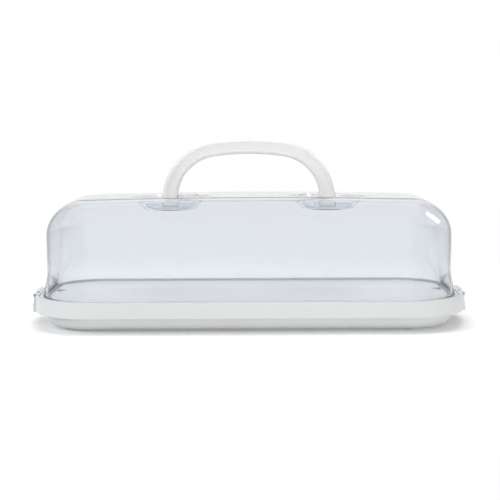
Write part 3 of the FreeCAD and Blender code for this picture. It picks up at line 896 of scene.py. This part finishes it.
def add_ease(tree, source, start, end, first=0, last=1):
    """Goes smoothly from a first value to a last one while its source goes from start to end."""
    ease = tree.nodes.new("ShaderNodeMapRange")
    ease.interpolation_type = "SMOOTHSTEP"
    ease.inputs["From Min"].default_value = start
    ease.inputs["From Max"].default_value = end
    ease.inputs["To Min"].default_value = first
    ease.inputs["To Max"].default_value = last
    tree.links.new(source, ease.inputs["Value"])
    return ease.outputs["Result"]


def path_light(tree):
    """A value of 1 for rays from the camera, and for those that it sees in gloss or through glass."""
    path = tree.nodes.new("ShaderNodeLightPath")
    seen = add_math(tree, "MAXIMUM", path.outputs["Is Camera Ray"], path.outputs["Is Glossy Ray"])
    return add_math(tree, "MAXIMUM", seen, path.outputs["Is Transmission Ray"])


def dim_sides(tree, places, start, end):
    """White in the middle, overhead and for the camera, and dimmer to both sides."""
    split = tree.nodes.new("ShaderNodeSeparateXYZ")
    tree.links.new(places, split.inputs["Vector"])
    sideways = add_math(tree, "ABSOLUTE", split.outputs["X"])
    dim = add_ease(tree, sideways, start, end, 1, FLANK_LEVEL)
    above = add_ease(tree, split.outputs["Z"], OVERHEAD_START, OVERHEAD_END)
    path = tree.nodes.new("ShaderNodeLightPath")
    white = add_math(tree, "MAXIMUM", path.outputs["Is Camera Ray"], above)
    return add_math(tree, "MAXIMUM", dim, white)


def make_world():
    world = bpy.data.worlds.new("Studio")
    world.use_nodes = True
    tree = world.node_tree
    lit = tree.nodes["Background"]
    lit.inputs["Color"].default_value = WORLD_COLOUR
    lit.inputs["Strength"].default_value = WORLD_LEVEL
    seen = tree.nodes.new("ShaderNodeBackground")
    seen.inputs["Color"].default_value = WHITE
    place = tree.nodes.new("ShaderNodeTexCoord")
    level = dim_sides(tree, place.outputs["Generated"], FLANK_START, FLANK_END)
    tree.links.new(level, seen.inputs["Strength"])
    surface = mix_shaders(tree, path_light(tree), lit.outputs["Background"], seen.outputs["Background"])
    tree.links.new(surface, tree.nodes["World Output"].inputs["Surface"])
    bpy.context.scene.world = world


def make_floor():
    """A plain pale floor that keeps the shadow, and is white from a little way off."""
    mesh = bpy.data.meshes.new("Floor")
    edge = [(x, y, 0) for x, y in arc((0, 0), FLOOR_REACH, 0, 360, ARC_STEPS * 4)[:-1]]
    mesh.from_pydata(edge, [], [range(len(edge))])
    floor = bpy.data.objects.new("Floor", mesh)
    bpy.context.scene.collection.objects.link(floor)
    material = bpy.data.materials.new("Floor paper")
    material.use_nodes = True
    tree = material.node_tree
    shader = tree.nodes["Principled BSDF"]
    shader.inputs["Base Color"].default_value = FLOOR_COLOUR
    shader.inputs["Roughness"].default_value = FLOOR_ROUGHNESS
    shader.inputs["Specular IOR Level"].default_value = 0
    glow = tree.nodes.new("ShaderNodeEmission")
    glow.inputs["Strength"].default_value = FLOOR_LIFT
    lifted = tree.nodes.new("ShaderNodeAddShader")
    tree.links.new(shader.outputs["BSDF"], lifted.inputs[0])
    tree.links.new(glow.outputs["Emission"], lifted.inputs[1])
    white_paper = tree.nodes.new("ShaderNodeEmission")
    place = tree.nodes.new("ShaderNodeTexCoord")
    level = dim_sides(tree, place.outputs["Object"], FLOOR_SIDE_START, FLOOR_SIDE_END)
    tree.links.new(level, white_paper.inputs["Strength"])
    away = tree.nodes.new("ShaderNodeVectorMath")
    away.operation = "LENGTH"
    tree.links.new(place.outputs["Object"], away.inputs[0])
    fade = add_ease(tree, away.outputs["Value"], FADE_START, FADE_END)
    seen = mix_shaders(tree, fade, lifted.outputs["Shader"], white_paper.outputs["Emission"])
    surface = mix_shaders(tree, path_light(tree), shader.outputs["BSDF"], seen)
    tree.links.new(surface, tree.nodes["Material Output"].inputs["Surface"])
    mesh.materials.append(material)


def make_lamp(name, place, width, height, power):
    """A soft lamp aimed at the carrier, which its polished and clear faces don't show."""
    target = Vector((0, 0, (TRAY_LOW.z + LID_TOP) / 2))
    data = bpy.data.lights.new(name, "AREA")
    data.shape = "RECTANGLE"
    data.size = width
    data.size_y = height
    data.energy = power
    lamp = bpy.data.objects.new(name, data)
    lamp.location = place
    lamp.visible_glossy = False
    lamp.visible_transmission = False
    lamp.rotation_euler = (target - Vector(place)).to_track_quat("-Z", "Y").to_euler()
    bpy.context.scene.collection.objects.link(lamp)
    return lamp


make_camera()
make_world()
make_floor()
lamps = {lamp[0]: make_lamp(*lamp) for lamp in LAMPS}
lamps["Key"].data.color = KEY_COLOUR
# The glint shows in gloss alone
lamps["Glint"].visible_glossy = True
lamps["Glint"].visible_diffuse = False

tray_white = new_material("White tray plastic", TRAY_WHITE, roughness=0.32, bump=0.08, grain=900)
# The plate gets the tray's white lightened, as painted light for the dimmer light under the lid.
plate_white_with_painted_light = new_material("White plate plastic with painted light", PLATE_WHITE_WITH_PAINTED_LIGHT, roughness=0.34, bump=0.08, grain=700)
handle_white = new_material("White handle plastic", HANDLE_WHITE, roughness=0.3, bump=0.08, grain=1100)
latch_grey = new_material("Pale grey latch plastic", LATCH_GREY, roughness=0.35, bump=0.1, grain=1000)
foot_rubber = new_material("Soft foot pad", FOOT_GREY, roughness=0.7, bump=0.25, grain=1500)
flange_milky = new_material("Milky flange plastic", FLANGE_WHITE, roughness=0.22, bump=0.05, grain=800)
flange_shader = flange_milky.node_tree.nodes["Principled BSDF"]
flange_shader.inputs["Transmission Weight"].default_value = FLANGE_CLEARNESS
flange_shader.inputs["IOR"].default_value = PLASTIC_INDEX
pin_steel = new_material("Pin steel", PIN_GREY, roughness=0.28, bump=0.15, grain=2200)
pin_steel.node_tree.nodes["Principled BSDF"].inputs["Metallic"].default_value = 1

dress(make_tray(), tray_white)
dress(make_plate(), plate_white_with_painted_light)
for depth, side_y, turns in (("front", -1, (180, 270)), ("back", 1, (90, 0))):
    for hand, side_x, turn in (("left", -1, turns[0]), ("right", 1, turns[1])):
        dress(make_foot(f"foot_{depth}_{hand}", side_x, side_y, turn), foot_rubber)
dress(make_lid(), clear_material("Clear lid plastic"))
dress(make_flange(), flange_milky)
dress(make_handle(), handle_white)
for hand, side in (("left", -1), ("right", 1)):
    for piece in make_bracket(hand, side):
        dress(piece, handle_white)
    for piece in make_pins(hand, side):
        dress(piece, pin_steel)
    dress(make_latch(hand, side), latch_grey)

bpy.context.scene.view_settings.view_transform = "Standard"
